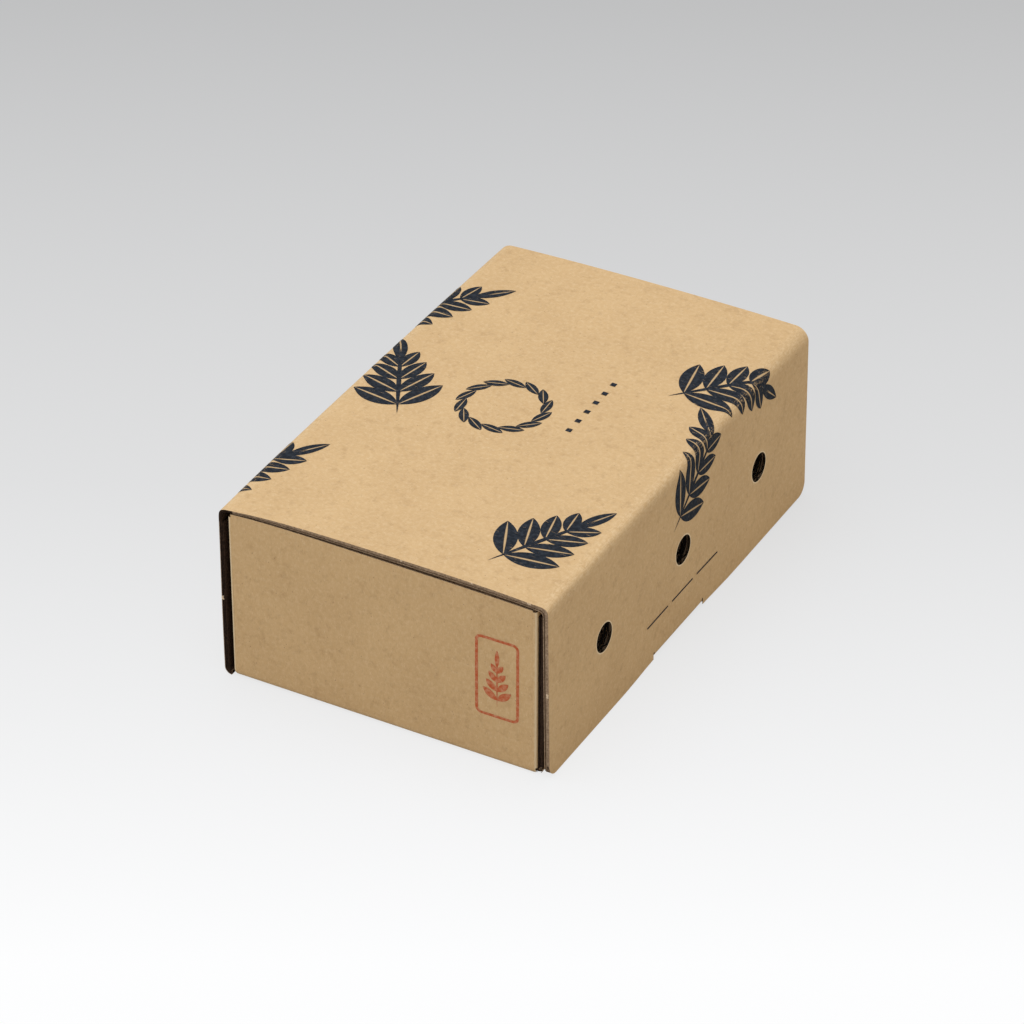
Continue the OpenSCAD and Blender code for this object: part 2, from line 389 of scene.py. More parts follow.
def lid_thickness(s, y):
    """The lid's ends are pressed flatter still beside the left crease."""
    beside = math.exp(-(max(s - LID_S, 0) / LEFT_PRESS_REACH) ** 2)
    return pinched(s, y) * (1 - LEFT_PRESS * beside * math.exp(-(HALF_L - abs(y)) / (4 * PINCH_REACH)))


def ear_thickness(s, y):
    """The board is pressed thin where an ear turns."""
    return EAR_PRESSED + (1 - EAR_PRESSED) * ease((s - EAR_R * QUARTER) / (4 * MM))


def fold_up(obj, route, place, offset=(0, 0), thickness=whole):
    """Takes flat board along its route: place turns (a, y, b) of the route's plane into a point."""
    store_flat(obj, offset, route)
    for v in obj.data.vertices:
        a, b = route.at(v.co.x, v.co.z * thickness(v.co.x, v.co.y))
        v.co = place(a, v.co.y, b)
    obj.data.update()
    return obj


def crushed(s_range, y, route, place, offset=(0, 0), thickness=pinched, depth=1):
    """Medium pressed against the outer liner along a cut at y that runs across the flutes."""
    marks = tidy_marks(route.arc_marks() + even_marks(*s_range, CRUSH_STEP), *s_range, CRUSH_STEP / 4)
    marks = [m for m in marks if s_range[0] <= m <= s_range[1]]
    depths = {u: CRUSH_DEPTH * depth * random.uniform(0.75, 1.2) for u in marks}
    inward = -1 if y > 0 else 1
    bm = bmesh.new()
    slab(bm, marks, sorted((y + inward * 0.05 * MM, y + inward * 0.65 * MM)),
         lambda u, v: LINER_T + 0.01 * MM, lambda u, v: LINER_T + depths[u])
    return fold_up(new_object("crushed", bm), route, place, offset, thickness)


def join(name, objects):
    """One object of several, all with the same materials."""
    with bpy.context.temp_override(active_object=objects[0], selected_editable_objects=objects):
        bpy.ops.object.join()
    objects[0].name = name
    return objects[0]


# Departures from flat, the same for the board and for the ink on it
def warp(a, b):
    """Slow unevenness of a panel, from -1 to 1."""
    short = math.sin(a / (31 * MM) + 1.3) * math.cos(b / (43 * MM) - 0.6)
    long = math.sin(b / (67 * MM) + a / (90 * MM))
    return short * 0.6 + long * 0.4


def ease(t):
    t = min(max(t, 0), 1)
    return t * t * (3 - 2 * t)


def settle_lid(x, y, z):
    """The lid crowns a little between its creases."""
    across = min(abs(x) / CREASE_X, 1)
    return (x, y, z + (LID_CROWN + PANEL_WARP * warp(x, y)) * (1 - across ** 2))


def settle_flap(x, y, z):
    """The closure flap leans out towards its foot, apart from the stretch that the tab holds."""
    if z > CREASE_Z:
        return (x, y, z)
    down = (CREASE_Z - z) / CREASE_Z
    held = ease((abs(y - TAB_Y) - TAB_L / 2) / (30 * MM))
    lean = FLAP_SPLAY * down * (1 - 0.55 * (1 - held) * ease(down * 1.4))
    return (x + lean + PANEL_WARP * warp(z, y) * down * (1 - down), y, z)


def settle_left(x, y, z):
    down = (CREASE_Z - z) / CREASE_Z
    if not 0 < down < 1:
        return (x, y, z)
    return (x + PANEL_WARP * warp(z, y) * 4 * down * (1 - down), y, z)


def sag(x, y, z):
    """How far the front corners of the lid are pressed down, with the walls below them."""
    share = (x + HALF_W) / (2 * HALF_W)
    corner = SAG_LEFT + (SAG_RIGHT - SAG_LEFT) * share
    return corner * math.exp(-(y + HALF_L) / SAG_REACH) * (x / HALF_W) ** 4 * max(z / TOP, 0) ** 2


def squared(x, y, z):
    """The creases are pressed nearly square at the front and stay round at the back."""
    dx, dz = abs(x) - CREASE_X, z - CREASE_Z
    if dx <= 0 or dz <= 0:
        return (x, y, z)
    turn = math.atan2(dz, dx)
    power = 2 + CREASE_SQUARE * min(max(0.5 - y / (2 * HALF_L), 0), 1)
    scale = (math.cos(turn) ** power + math.sin(turn) ** power) ** (-1 / power)
    return (math.copysign(CREASE_X + dx * scale, x), y, CREASE_Z + dz * scale)


def over_arch(x, y, z):
    """Where a point of the arch of left wall, lid and flap comes to lie."""
    x, y, z = squared(x, y, z)
    z -= sag(x, y, z)
    if x > CREASE_X:
        return settle_flap(x, y, z)
    if x < -CREASE_X:
        return settle_left(x, y, z)
    return settle_lid(x, y, z)


QUARTER = math.pi / 2
UNDER_SHIFT = 400
ARCH = Route((-HALF_W, 0), QUARTER, [
    (0, CREASE_Z), (CREASE_R, QUARTER), (0, 2 * CREASE_X), (CREASE_R, QUARTER),
    (0, CREASE_Z - TAB_BEND_Z), (0, TAB_BEND_Z)])
TAB = Route((HALF_W, TAB_WINDOW_TOP), -QUARTER, [
    (0, TAB_WINDOW_TOP - TAB_BEND_Z), (TAB_R, QUARTER), (0, HALF_W - TAB_R - TAB_TIP_X)])
UNDER = Route((INNER_WALL_X, CREASE_Z), -QUARTER, [
    (0, CREASE_Z - FOLD_R), (FOLD_R, QUARTER), (0, INNER_WALL_X + HALF_W - 2 * FOLD_R), (FOLD_R, QUARTER),
    (0, CREASE_Z - FOLD_R)])
END_SPAN = WALL_TOP - FOLD_R
ENDWALL = Route((-HALF_L + FOLD_R, 0), math.pi, [(FOLD_R, QUARTER), (0, END_SPAN)])

LEFT_CREASE_S = CREASE_Z
LID_S = LEFT_CREASE_S + CREASE_R * QUARTER
RIGHT_CREASE_S = LID_S + 2 * CREASE_X
FLAP_S = RIGHT_CREASE_S + CREASE_R * QUARTER
FOOT_S = FLAP_S + CREASE_Z - FLAP_FOOT


def nick(s, y, size, route, place, offset=(0, 0), thickness=pinched):
    """Small tuft of torn liner at a cut edge."""
    count = 5
    us = [s + size * (i / (count - 1) - 0.5) for i in range(count)]
    lows = {u: random.uniform(0.02, 0.3) * MM for u in us}
    highs = {u: size * random.uniform(0.3, 0.75) for u in us}
    outward = 1 if y > 0 else -1
    vs = sorted((y + outward * random.uniform(0.15, 0.3) * MM, y - outward * 0.35 * MM))
    bm = bmesh.new()
    slab(bm, us, vs, lambda u, v: lows[u], lambda u, v: lows[u] + highs[u])
    obj = fold_up(new_object("nick", bm), route, place, offset, thickness)
    for face in obj.data.polygons:
        face.material_index = TORN
    return obj


def make_lid():
    marks = ARCH.arc_marks() + even_marks(LID_S, RIGHT_CREASE_S, 9 * MM)
    lid = flat_board("lid_board", (LEFT_CREASE_S, RIGHT_CREASE_S), (-HALF_L, HALF_L), marks, fine_y=10 * MM)
    fold_up(lid, ARCH, over_arch, thickness=lid_thickness)
    nicks = [nick(LID_S + CREASE_X + x * MM, -HALF_L, size * MM, ARCH, over_arch)
             for x, size in ((71, 1.9), (10.1, 1.1), (-38, 0.6), (44, 0.6))]
    nicks += [nick(LID_S + CREASE_X + x * MM, HALF_L, 1.2 * MM, ARCH, over_arch) for x in (-51, 22)]
    edges = [crushed((LEFT_CREASE_S, RIGHT_CREASE_S), y, ARCH, over_arch, thickness=lid_thickness)
             for y in (-HALF_L, HALF_L)]
    lid = join("lid_board", [lid, *nicks, *edges])
    # Inner liner and cut faces of the lid near its ends beside the left crease get the near-black finish as
    # painted shade
    for face in lid.data.polygons:
        if face.material_index in (CUT, INNER) and face.center.x < -CREASE_X:
            if abs(face.center.y) > HALF_L - PAINTED_SHADE_REACH:
                face.material_index = PAINTED_SHADE
    return lid


def flap_s(z):
    return FLAP_S + CREASE_Z - z


def make_flap():
    marks = ARCH.arc_marks() + even_marks(FLAP_S, FOOT_S, 6 * MM)
    flap = flat_board("flap_board", (RIGHT_CREASE_S, FOOT_S), (-HALF_L, HALF_L), marks, fine_y=10 * MM)
    cutters = [cylinder_cutter(flap_s(VENT_Z), y, VENT_R) for y in VENT_YS]
    cutters += [corner_cutter(FOOT_S, side * HALF_L, side, FLAP_CORNER_R) for side in (-1, 1)]
    reach = TAB_L / 2 + TAB_SLIT
    cutters.append(box_cutter([flap_s(TAB_WINDOW_TOP), FOOT_S + BOARD_T], [TAB_Y - reach, TAB_Y + reach]))
    fold_up(cut(flap, cutters), ARCH, over_arch)
    tab = flat_board("tab", (0, TAB.length), (TAB_Y - TAB_L / 2, TAB_Y + TAB_L / 2), TAB.arc_marks())
    fold_up(tab, TAB, lambda a, y, b: settle_flap(a, y, max(b, 0)) if a > CREASE_X else (a, y, b),
            (flap_s(TAB_WINDOW_TOP) / MM, 0))
    nicks = [nick(flap_s(43.9 * MM), -HALF_L, 2 * MM, ARCH, over_arch)]
    nicks.append(nick(flap_s(61 * MM), HALF_L, 1.3 * MM, ARCH, over_arch))
    edges = [crushed((RIGHT_CREASE_S, FOOT_S - FLAP_CORNER_R), y, ARCH, over_arch, thickness=whole)
             for y in (-HALF_L, HALF_L)]
    return join("flap_board", [flap, tab, *nicks, *edges])


def painted_shade_at_ends(obj, wall_foot, bottom_end):
    """Near the ends of both side walls the cut flutes and the inner liner, which lie in the dark beside the
    ears, get a near-black finish as painted shade, and so does every face of the inner wall within half that
    reach of its ends.
    """
    flat = obj.data.attributes["flat"].data
    for face in obj.data.polygons:
        count = len(face.vertices)
        s, y, depth = (sum(flat[k].vector[axis] for k in face.vertices) / count for axis in range(3))
        beside = abs(y) > (HALF_L - PAINTED_SHADE_REACH) / MM and not wall_foot < s - UNDER_SHIFT < bottom_end
        if beside and depth > LINER_T / MM * 0.9 and face.material_index in (CUT, INNER):
            face.material_index = PAINTED_SHADE
        if beside and s - UNDER_SHIFT < wall_foot and abs(y) > (HALF_L - PAINTED_SHADE_REACH / 2) / MM:
            face.material_index = PAINTED_SHADE
    return obj


def make_under():
    """Inner wall, bottom and left wall, one run of board."""
    marks = UNDER.arc_marks() + even_marks(0, UNDER.length, 12 * MM)
    under = flat_board("under", (0, UNDER.length), (-HALF_L, HALF_L), marks, fine_y=10 * MM)
    wall_foot = CREASE_Z - FOLD_R
    bottom_s = wall_foot + FOLD_R * QUARTER
    bottom_end = bottom_s + INNER_WALL_X + HALF_W - 2 * FOLD_R
    cutters = [cylinder_cutter(CREASE_Z - VENT_Z, y, VENT_R) for y in VENT_YS]
    for side in (-1, 1):
        ends = sorted((side * (HALF_L - FOLD_R), side * (HALF_L + BOARD_T)))
        cutters.append(box_cutter([bottom_s, bottom_end], ends))
        ends = sorted((side * (HALF_L - INNER_WALL_BACK), side * (HALF_L + BOARD_T)))
        cutters.append(box_cutter([-BOARD_T, bottom_s + 0.1 * MM], ends))
        ends = sorted((side * (HALF_L - FOLD_R), side * (HALF_L + BOARD_T)))
        cutters.append(box_cutter([wall_foot + FOLD_R * 0.6, bottom_s + 0.1 * MM], ends))
    slot = TAB_L / 2 + TAB_PLAY
    cutters.append(box_cutter([CREASE_Z - SLOT_TOP, bottom_s], [TAB_Y - slot, TAB_Y + slot]))
    cut(under, cutters)

    def place(a, y, b):
        return settle_left(a, y, b - sag(a, y, b)) if a < -CREASE_X else (a, y, b)

    fold_up(under, UNDER, place, (UNDER_SHIFT, 0), pinched)
    nick_s = UNDER.length - (CREASE_Z - 40.8 * MM)
    parts = [under, nick(nick_s, -HALF_L, 1.8 * MM, UNDER, place, (UNDER_SHIFT, 0))]
    for side in (-1, 1):
        wall_end = side * (HALF_L - INNER_WALL_BACK)
        parts.append(crushed((0, wall_foot - 1 * MM), wall_end, UNDER, place, (UNDER_SHIFT, 0)))
        left_wall = (bottom_end, UNDER.length)
        parts.append(crushed(left_wall, side * HALF_L, UNDER, place, (UNDER_SHIFT, 0), depth=0.45))
    return painted_shade_at_ends(join("tray_board", parts), wall_foot / MM, bottom_end / MM)


def bulge(across, y, z):
    """How far an end wall stands out, at a share of its half width and at its own coordinates."""
    up = min(max(z / WALL_TOP, 0), 1)
    even = PANEL_BULGE * math.sin(math.pi * up) * (1 - across ** 2)
    return even + PANEL_WARP * warp(y, z) * up * (1 - up) * 2


def end_rise(x, up, side):
    """The front wall's top edge stands higher at the left than at the right."""
    if side > 0:
        return 0
    share = (x + CREASE_X) / (2 * CREASE_X)
    rise = PANEL_RISE_LEFT + (PANEL_RISE_RIGHT - PANEL_RISE_LEFT) * share - sag(x, -HALF_L, WALL_TOP)
    return rise * ease((up - 0.6) / 0.4)


def highest(x):
    """How high a wall may stand under the lid and its creases."""
    inside_r = CREASE_R - BOARD_T - FLAP_GAP
    out = abs(x) - CREASE_X
    if out <= 0:
        return WALL_TOP
    return min(WALL_TOP, CREASE_Z + math.sqrt(max(inside_r ** 2 - out ** 2, 0)))


def make_end(side):
    """End wall with its bottom fold and both glued ears; side is -1 at the front and +1 at the back."""
    marks = ENDWALL.arc_marks() + even_marks(0, ENDWALL.length, 9 * MM)
    across = (-PANEL_HALF, PANEL_HALF)
    wall = flat_board("end", (0, ENDWALL.length), across, marks, flutes="across", fine_y=9 * MM)

    def place(a, y, b):
        up = min(max(b / WALL_TOP, 0), 1)
        x = PANEL_MIDDLE + y
        return (x, -side * (a - bulge(y / PANEL_HALF, y, b)), b + end_rise(x, up, side))

    fold_up(wall, ENDWALL, place, (700, 300 * side))
    parts = [wall]
    for hand, corner_x in ((-1, PANEL_LEFT), (1, PANEL_RIGHT)):
        route = Route((-HALF_L, corner_x - hand * EAR_R), QUARTER, [(EAR_R, QUARTER), (0, EAR_L - EAR_R)])
        marks = route.arc_marks() + even_marks(0, route.length, 8 * MM)
        ear = flat_board("ear", (0, route.length), (CORNER_FOOT, WALL_TOP), marks, fine_y=12 * MM)
        past_end = route.length + BOARD_T
        drop = box_cutter([EAR_R * QUARTER + 3 * MM, past_end], [WALL_TOP - EAR_DROP, WALL_TOP + BOARD_T])
        foot = box_cutter([EAR_R * 0.75, past_end], [-BOARD_T, FOLD_R])
        cut(ear, [drop, foot])
        start_x = corner_x - hand * EAR_R
        gap = (PANEL_LEFT - END_LEFT if hand < 0 else END_RIGHT - PANEL_RIGHT) * 0.97

        def ear_place(a, y, b, hand=hand, start_x=start_x, gap=gap):
            back = ease((a + HALF_L) / EAR_LEAN)
            x = start_x + hand * (b - start_x + gap * back)
            rise = end_rise(x, min(y / WALL_TOP, 1), side) * (1 - ease((a + HALF_L) / (8 * MM)))
            low = max(FOLD_R - y, 0)
            tuck = FOLD_R - math.sqrt(FOLD_R ** 2 - low ** 2)
            out = -side * (a + tuck)
            return (x, out, min(y, highest(x) - sag(x, out, y)) + rise)

        fold_up(ear, route, ear_place, (900 + 60 * hand, 300 * side), ear_thickness)
        # Values above 1 on the ears' corners make the paper draw a pale line there, wear with a painted
        # highlight
        for item in ear.data.attributes["rub_and_highlight"].data:
            item.value *= CORNER_WEAR_AND_HIGHLIGHT[hand]
        parts.append(ear)
    return join("end", parts)


def fix_normals(obj):
    bm = bmesh.new()
    bm.from_mesh(obj.data)
    bmesh.ops.remove_doubles(bm, verts=bm.verts, dist=1e-7)
    bmesh.ops.recalc_face_normals(bm, faces=bm.faces)
    bm.to_mesh(obj.data)
    bm.free()


def smooth_folds(obj, angle=math.radians(25)):
    """Smooth shading except over sharp edges."""
    mesh = obj.data
    mesh.shade_smooth()
    mesh.set_sharp_from_angle(angle=angle)


# Materials
def shader(name):
    material = bpy.data.materials.new(name)
    material.use_nodes = True
    nodes, links = material.node_tree.nodes, material.node_tree.links
    return material, nodes, links, nodes["Principled BSDF"]


class Weave:
    """Short names for the shader nodes that the finishes share."""

    def __init__(self, nodes, links):
        self.nodes, self.links = nodes, links

    def put(self, socket, value):
        if isinstance(value, bpy.types.NodeSocket):
            self.links.new(value, socket)
        elif value is not None:
            socket.default_value = value

    def flat(self, scale=(1, 1, 1), turn=0, shift=(0, 0, 0)):
        source = self.nodes.new("ShaderNodeAttribute")
        source.attribute_name = "flat"
        mapping = self.nodes.new("ShaderNodeMapping")
        self.links.new(source.outputs["Vector"], mapping.inputs["Vector"])
        mapping.inputs["Scale"].default_value = scale
        mapping.inputs["Rotation"].default_value = (0, 0, turn)
        mapping.inputs["Location"].default_value = shift
        return mapping.outputs["Vector"]

    def value(self, name):
        source = self.nodes.new("ShaderNodeAttribute")
        source.attribute_name = name
        return source.outputs["Fac"]

    def noise(self, vector, scale, detail=2.0, rough=0.5):
        node = self.nodes.new("ShaderNodeTexNoise")
        self.put(node.inputs["Vector"], vector)
        node.inputs["Scale"].default_value = scale
        node.inputs["Detail"].default_value = detail
        node.inputs["Roughness"].default_value = rough
        return node.outputs["Fac"]

    def cells(self, vector, scale):
        node = self.nodes.new("ShaderNodeTexVoronoi")
        self.put(node.inputs["Vector"], vector)
        node.inputs["Scale"].default_value = scale
        return node.outputs["Distance"], node.outputs["Color"]

    def math(self, kind, a, b=None, clamp=False):
        node = self.nodes.new("ShaderNodeMath")
        node.operation = kind
        node.use_clamp = clamp
        self.put(node.inputs[0], a)
        if b is not None:
            self.put(node.inputs[1], b)
        return node.outputs[0]

    def spread(self, value, low, high, to_low=0.0, to_high=1.0):
        node = self.nodes.new("ShaderNodeMapRange")
        node.interpolation_type = "SMOOTHSTEP"
        self.put(node.inputs["Value"], value)
        node.inputs["From Min"].default_value = low
        node.inputs["From Max"].default_value = high
        node.inputs["To Min"].default_value = to_low
        node.inputs["To Max"].default_value = to_high
        return node.outputs["Result"]

    def mix(self, factor, a, b, kind="MIX"):
        node = self.nodes.new("ShaderNodeMix")
        node.data_type = "RGBA"
        node.blend_type = kind
        self.put(node.inputs["Factor"], factor)
        self.put(node.inputs[6], a)
        self.put(node.inputs[7], b)
        return node.outputs[2]

    def bump(self, height, distance, strength=1.0, under=None):
        node = self.nodes.new("ShaderNodeBump")
        self.put(node.inputs["Height"], height)
        node.inputs["Distance"].default_value = distance
        node.inputs["Strength"].default_value = strength
        if under is not None:
            self.links.new(under, node.inputs["Normal"])
        return node.outputs["Normal"]


def linear(r, g, b):
    """Linear colour from 0 to 255 display values."""
    def one(c):
        c /= 255
        return c / 12.92 if c <= 0.04045 else ((c + 0.055) / 1.055) ** 2.4
    return (one(r), one(g), one(b), 1)


KRAFT = linear(205, 170, 122)
KRAFT_DARK = linear(172, 136, 92)
KRAFT_PALE = linear(226, 198, 156)
KRAFT_INSIDE = linear(190, 154, 108)
FIBRE_PALE = linear(232, 210, 172)
FIBRE_DARK = linear(140, 104, 66)
CUT_BROWN = linear(178, 152, 124)
CUT_DARK = linear(124, 101, 80)
# Near-black browns, painted shade for the gaps beside the ears
PAINTED_SHADE_BROWN = linear(66, 48, 36)
PAINTED_SHADE_DARK = linear(28, 20, 15)
# Near-black, painted shade inside the air holes and round the inner wall's holes
VENT_PAINTED_SHADE = linear(22, 16, 12)
TORN_PALE = linear(212, 192, 166)
SLATE = linear(23, 28, 35)
SLATE_PALE = linear(72, 78, 86)
RED = linear(184, 88, 52)


def paper_colour(w, base):
    """Kraft paper: clouds, mottling, fibres that lie several ways and dark flecks."""
    plain = w.flat()
    clouds = w.noise(plain, 0.035, 3.0, 0.55)
    colour = w.mix(w.spread(clouds, 0.3, 0.7, 0.0, 0.16), base, KRAFT_DARK)
    patches = w.noise(plain, 0.5, 4.0, 0.65)
    colour = w.mix(w.spread(patches, 0.42, 0.72, 0.0, 0.3), colour, KRAFT_PALE)
    dapple = w.noise(w.flat(shift=(40, 7, 3)), 0.22, 5.0, 0.7)
    colour = w.mix(w.spread(dapple, 0.5, 0.72, 0.0, 0.4), colour, KRAFT_DARK)
    for turn, seed, ink, amount in ((0.25, 3, FIBRE_PALE, 0.6), (-0.4, 11, FIBRE_DARK, 0.46),
                                    (1.2, 17, FIBRE_PALE, 0.4), (-1.0, 23, FIBRE_DARK, 0.34)):
        fibres = w.noise(w.flat((0.45, 3.6, 1), turn, (seed, seed * 2, 0)), 1.0, 3.0, 0.6)
        colour = w.mix(w.spread(fibres, 0.6, 0.72, 0.0, amount), colour, ink)
    distance, tint = w.cells(w.flat((0.36, 0.6, 0.2), 0.5), 1.0)
    chosen = w.math("GREATER_THAN", tint, 0.74)
    fleck = w.math("MULTIPLY", w.spread(distance, 0.16, 0.05), chosen)
    colour = w.mix(w.math("MULTIPLY", fleck, 0.75), colour, FIBRE_DARK)
    return colour


def vent_distance(w, centres):
    """Distance in millimetres from the nearest air hole's centre, for rows of holes at the given X."""
    split = w.nodes.new("ShaderNodeSeparateXYZ")
    w.links.new(w.flat(), split.inputs["Vector"])
    wrap = w.nodes.new("ShaderNodeMath")
    wrap.operation = "WRAP"
    w.links.new(split.outputs["Y"], wrap.inputs[0])
    wrap.inputs[1].default_value = VENT_PITCH / 2 / MM
    wrap.inputs[2].default_value = -VENT_PITCH / 2 / MM
    across = w.math("POWER", wrap.outputs[0], 2.0)
    nearest = None
    for centre in centres:
        along = w.math("POWER", w.math("SUBTRACT", split.outputs["X"], centre), 2.0)
        distance = w.math("SQRT", w.math("ADD", along, across))
        nearest = distance if nearest is None else w.math("MINIMUM", nearest, distance)
    return nearest


def flute_lines(w):
    """Height of the faint ridges that the flutes press into the paper, from 0 to 1."""
    split = w.nodes.new("ShaderNodeSeparateXYZ")
    w.links.new(w.flat(), split.inputs["Vector"])
    turns = w.math("MULTIPLY", split.outputs["Y"], 2 * math.pi * MM / FLUTE_PITCH)
    return w.math("MULTIPLY_ADD", w.math("COSINE", turns), 0.5)


def paper(name, base):
    material, nodes, links, bsdf = shader(name)
    w = Weave(nodes, links)
    colour = paper_colour(w, base)
    streaks = w.spread(w.noise(w.flat((1, 0.25, 1)), 1.4, 4.0, 0.7), 0.42, 0.62)
    rub_and_highlight = w.math("MULTIPLY", w.value("rub_and_highlight"), streaks)
    colour = w.mix(w.math("MULTIPLY", rub_and_highlight, 0.4), colour, KRAFT_PALE)
    # Above 1.25, only on the ears' rounded corners: a pale line, wear with a painted highlight on the fold
    colour = w.mix(w.spread(w.value("rub_and_highlight"), 1.25, 1.7, 0.0, 0.7), colour, FIBRE_PALE)
    rim = w.spread(vent_distance(w, [flap_s(VENT_Z) / MM]), VENT_R / MM + 0.9, VENT_R / MM + 0.3)
    colour = w.mix(w.math("MULTIPLY", rim, 0.7), colour, FIBRE_PALE)
    # A dark ring round the inner wall's air holes, painted shade seen through the flap's holes
    painted_vent_shade = vent_distance(w, [(CREASE_Z - VENT_Z) / MM + UNDER_SHIFT])
    colour = w.mix(w.spread(painted_vent_shade, VENT_R / MM + 2.0, VENT_R / MM + 1.2), colour, VENT_PAINTED_SHADE)
    w.put(bsdf.inputs["Base Color"], colour)
    rough = w.spread(w.noise(w.flat(), 0.9, 3.0), 0.3, 0.7, 0.78, 0.93)
    w.put(bsdf.inputs["Roughness"], rough)
    bsdf.inputs["Specular IOR Level"].default_value = 0.25
    grain = w.noise(w.flat((1, 2.2, 1), 0.2), 2.2, 5.0, 0.7)
    fine = w.bump(grain, 0.12 * MM, 0.5)
    w.put(bsdf.inputs["Normal"], w.bump(flute_lines(w), 0.05 * MM, 0.5, fine))
    return material


def cut_edge(name, dark, brown):
    """Cut edges and the fluted layer: darker, rough, with torn fibres, and near-black round the air holes as
    painted shade.
    """
    material, nodes, links, bsdf = shader(name)
    w = Weave(nodes, links)
    patches = w.noise(w.flat(), 1.1, 5.0, 0.75)
    colour = w.mix(w.spread(patches, 0.35, 0.66), dark, brown)
    fibres = w.noise(w.flat((3, 3, 8), 0.4), 1.0, 3.0, 0.6)
    colour = w.mix(w.spread(fibres, 0.58, 0.7, 0.0, 0.5), colour, brown)
    # Cut faces in and near the air holes are darkened as painted shade
    holes = [flap_s(VENT_Z) / MM, (CREASE_Z - VENT_Z) / MM + UNDER_SHIFT]
    colour = w.mix(w.spread(vent_distance(w, holes), VENT_R / MM + 1.2, VENT_R / MM + 0.4), colour, VENT_PAINTED_SHADE)
    w.put(bsdf.inputs["Base Color"], colour)
    bsdf.inputs["Roughness"].default_value = 0.95
    bsdf.inputs["Specular IOR Level"].default_value = 0.1
    w.put(bsdf.inputs["Normal"], w.bump(fibres, 0.2 * MM, 0.8))
    return material


def torn():
    """Pale fibres of torn liner."""
    material, nodes, links, bsdf = shader("torn_liner")
    w = Weave(nodes, links)
    fibres = w.noise(w.flat((2, 6, 4), 0.4), 1.0, 4.0, 0.7)
    w.put(bsdf.inputs["Base Color"], w.mix(w.spread(fibres, 0.4, 0.7), TORN_PALE, KRAFT))
    bsdf.inputs["Roughness"].default_value = 0.95
    w.put(bsdf.inputs["Normal"], w.bump(fibres, 0.2 * MM, 0.8))
    return material


def ink(name, colour, pale, cover):
    """Ink on kraft: the paper shows through scratches, pinholes, leaf veins and the worn line on a fold."""
    material, nodes, links, bsdf = shader(name)
    w = Weave(nodes, links)
    under = paper_colour(w, KRAFT)
    tone = w.mix(w.spread(w.noise(w.flat(), 0.5, 4.0, 0.6), 0.35, 0.75, 0.0, 0.35), colour, pale)
    scratches = w.noise(w.flat((0.16, 2.6, 1), 0.8, (5, 9, 0)), 1.0, 2.0, 0.5)
    worn = w.spread(scratches, 0.68, 0.74, 0.0, 0.75)
    for turn, seed in ((-0.5, 31), (2.1, 47)):
        more = w.noise(w.flat((0.3, 3.4, 1), turn, (seed, 4, 0)), 1.0, 2.0, 0.5)
        worn = w.math("MAXIMUM", worn, w.spread(more, 0.7, 0.76, 0.0, 0.6))
    pinholes = w.noise(w.flat(), 2.4, 3.0, 0.6)
    worn = w.math("MAXIMUM", worn, w.spread(pinholes, 0.7, 0.8, 0.0, 0.7))
    rub_and_highlight = w.math("MULTIPLY", w.value("rub_and_highlight"), w.noise(w.flat((1, 0.2, 1)), 2.0, 4.0, 0.7))
    worn = w.math("MAXIMUM", worn, w.spread(rub_and_highlight, 0.5, 0.62, 0.0, 0.55))
    worn = w.math("MAXIMUM", worn, w.value("vein"))
    w.put(bsdf.inputs["Base Color"], w.mix(w.math("MULTIPLY", worn, cover), tone, under))
    bsdf.inputs["Roughness"].default_value = 0.75
    bsdf.inputs["Specular IOR Level"].default_value = 0.12
    w.put(bsdf.inputs["Normal"], w.bump(w.noise(w.flat((1, 2.2, 1), 0.2), 2.2, 5.0, 0.7), 0.1 * MM, 0.45))
    return material


